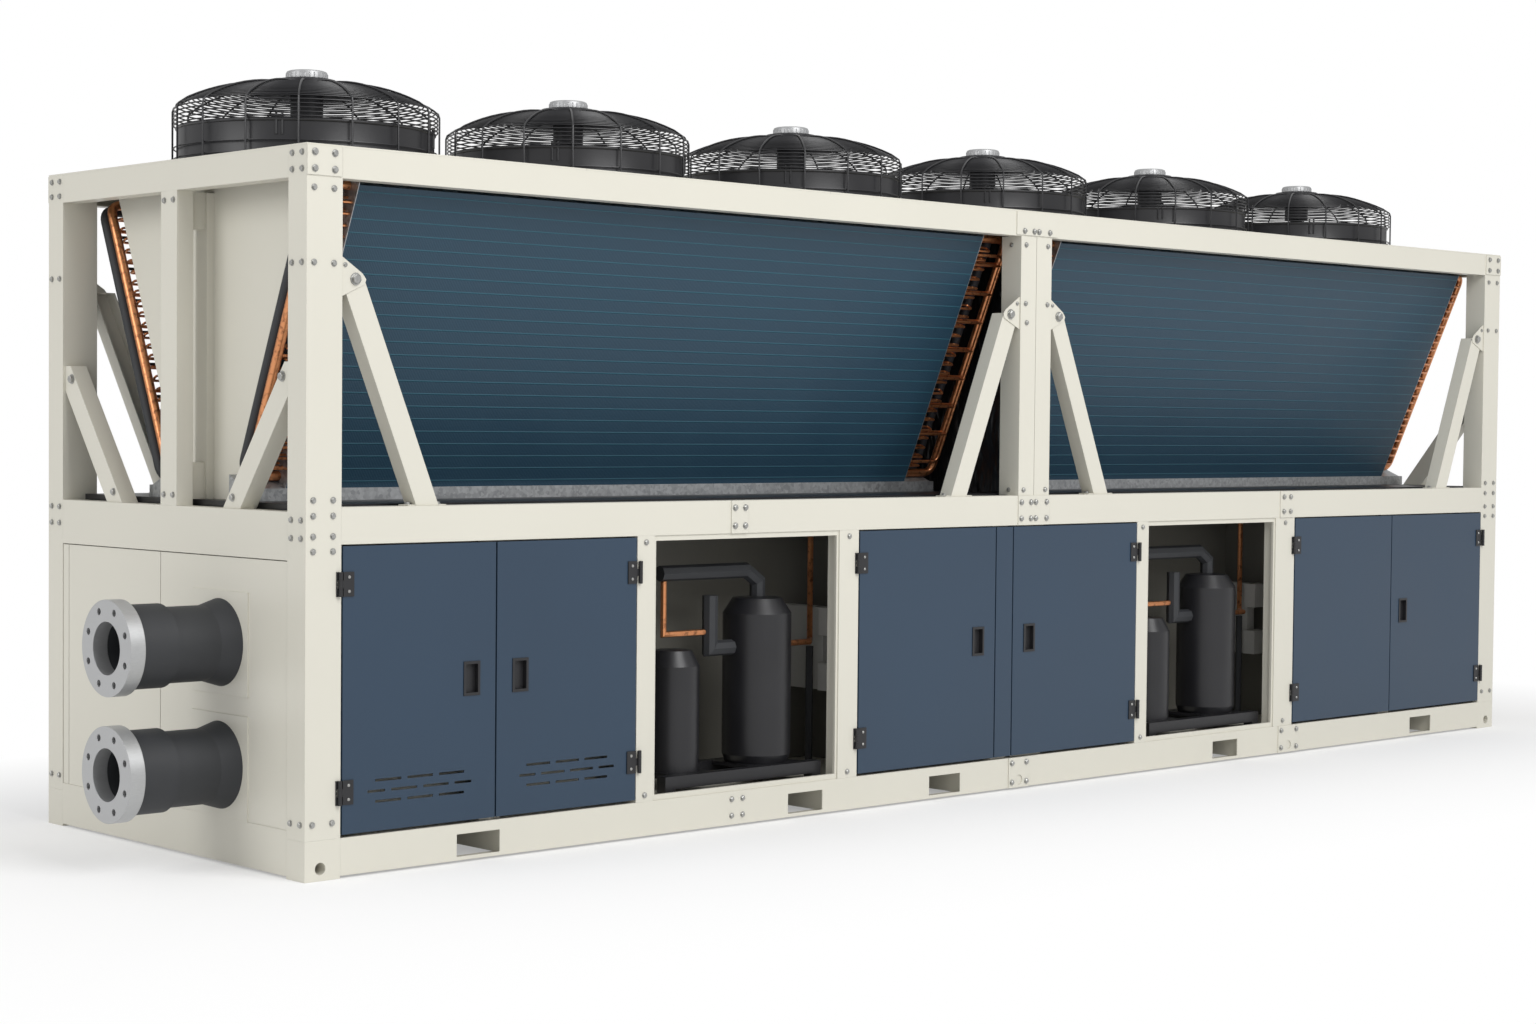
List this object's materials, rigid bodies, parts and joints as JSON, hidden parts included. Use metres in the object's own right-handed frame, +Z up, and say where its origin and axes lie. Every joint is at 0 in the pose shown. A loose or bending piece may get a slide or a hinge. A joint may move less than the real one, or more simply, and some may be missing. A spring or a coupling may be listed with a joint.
{
  "type": "air to water heat pump",
  "caption": "Long outdoor air to water heat pump with a row of top fans, coils in a V, hinged doors, open compressor bays and flanged water pipes at one end.",
  "frame": {"origin": "centre of the base's underside, on the ground", "axes": "+X along the unit away from the water pipes, +Z up, doors on the -Y side"},
  "size_m": [7.1, 1.6195, 2.586],
  "materials": {
    "frame_paint": "satin cream powder coat",
    "door_paint": "satin navy powder coat",
    "galvanised": "galvanised sheet",
    "fin_coating": "blue coated aluminium fins",
    "black_steel": "black powder coat",
    "black_plastic": "moulded black plastic",
    "copper": "bare copper tube",
    "insulation": "dark foam insulation",
    "flange_metal": "turned aluminium",
    "valve_plastic": "light grey plastic"
  },
  "bodies": {
    "housing": {"back_panels": "door_paint", "base_rails": "frame_paint", "bay_frames": "frame_paint", "bay_liners": "frame_paint", "bay_skids": "black_steel", "black_bay_pipes": "insulation", "black_headers": "insulation", "braces": "frame_paint", "centre_strip": "door_paint", "coil_end_plates": "galvanised", "coil_foot_rails": "galvanised", "coils": "fin_coating", "compressors": "black_steel", "copper_bay_pipes": "copper", "copper_headers": "copper", "corner_blocks": "frame_paint", "cross_members": "frame_paint", "drain_tray": "black_steel", "end_panels": "frame_paint", "fan_deck": "frame_paint", "fan_guards": "black_steel", "fan_motors": "flange_metal", "fan_shrouds": "black_steel", "floor_pan": "frame_paint", "hinge_frame_leaves": "black_plastic", "inner_panels": "frame_paint", "jambs": "frame_paint", "joint_plates": "frame_paint", "mid_rails": "frame_paint", "oil_vessels": "black_steel", "pipe_flanges": "flange_metal", "pipe_plates": "frame_paint", "posts": "frame_paint", "return_bends": "copper", "top_rails": "frame_paint", "v_end_panels": "frame_paint", "valve_boxes": "valve_plastic", "water_pipes": "insulation"},
    "door_1": {"door_1_panel": "door_paint", "door_1_fittings": "black_plastic"},
    "door_2": {"door_2_panel": "door_paint", "door_2_fittings": "black_plastic"},
    "door_3": {"door_3_panel": "door_paint", "door_3_fittings": "black_plastic"},
    "door_4": {"door_4_panel": "door_paint", "door_4_fittings": "black_plastic"},
    "door_5": {"door_5_panel": "door_paint", "door_5_fittings": "black_plastic"},
    "door_6": {"door_6_panel": "door_paint", "door_6_fittings": "black_plastic"},
    "fan_1": {"fan_rotor_1": "black_plastic"},
    "fan_2": {"fan_rotor_2": "black_plastic"},
    "fan_3": {"fan_rotor_3": "black_plastic"},
    "fan_4": {"fan_rotor_4": "black_plastic"},
    "fan_5": {"fan_rotor_5": "black_plastic"},
    "fan_6": {"fan_rotor_6": "black_plastic"}
  },
  "joints": [
    {"name": "door_1_hinge", "type": "hinge", "parent": "housing", "child": "door_1", "pos_m": [-3.228, -0.809, 0.5865], "axis": [0, 0, -1], "range_deg": [0, 110]},
    {"name": "door_2_hinge", "type": "hinge", "parent": "housing", "child": "door_2", "pos_m": [-2.019, -0.809, 0.5865], "axis": [0, 0, 1], "range_deg": [0, 110]},
    {"name": "door_3_hinge", "type": "hinge", "parent": "housing", "child": "door_3", "pos_m": [-0.974, -0.809, 0.5865], "axis": [0, 0, -1], "range_deg": [0, 110]},
    {"name": "door_4_hinge", "type": "hinge", "parent": "housing", "child": "door_4", "pos_m": [0.651, -0.809, 0.5865], "axis": [0, 0, 1], "range_deg": [0, 110]},
    {"name": "door_5_hinge", "type": "hinge", "parent": "housing", "child": "door_5", "pos_m": [1.718, -0.809, 0.5865], "axis": [0, 0, -1], "range_deg": [0, 110]},
    {"name": "door_6_hinge", "type": "hinge", "parent": "housing", "child": "door_6", "pos_m": [3.228, -0.809, 0.5865], "axis": [0, 0, 1], "range_deg": [0, 110]},
    {"name": "fan_1_spin", "type": "hinge", "parent": "housing", "child": "fan_1", "pos_m": [-2.825, 0, 2.33], "axis": [0, 0, 1], "continuous": true},
    {"name": "fan_2_spin", "type": "hinge", "parent": "housing", "child": "fan_2", "pos_m": [-1.695, 0, 2.33], "axis": [0, 0, 1], "continuous": true},
    {"name": "fan_3_spin", "type": "hinge", "parent": "housing", "child": "fan_3", "pos_m": [-0.565, 0, 2.33], "axis": [0, 0, 1], "continuous": true},
    {"name": "fan_4_spin", "type": "hinge", "parent": "housing", "child": "fan_4", "pos_m": [0.565, 0, 2.33], "axis": [0, 0, 1], "continuous": true},
    {"name": "fan_5_spin", "type": "hinge", "parent": "housing", "child": "fan_5", "pos_m": [1.695, 0, 2.33], "axis": [0, 0, 1], "continuous": true},
    {"name": "fan_6_spin", "type": "hinge", "parent": "housing", "child": "fan_6", "pos_m": [2.825, 0, 2.33], "axis": [0, 0, 1], "continuous": true}
  ]
}
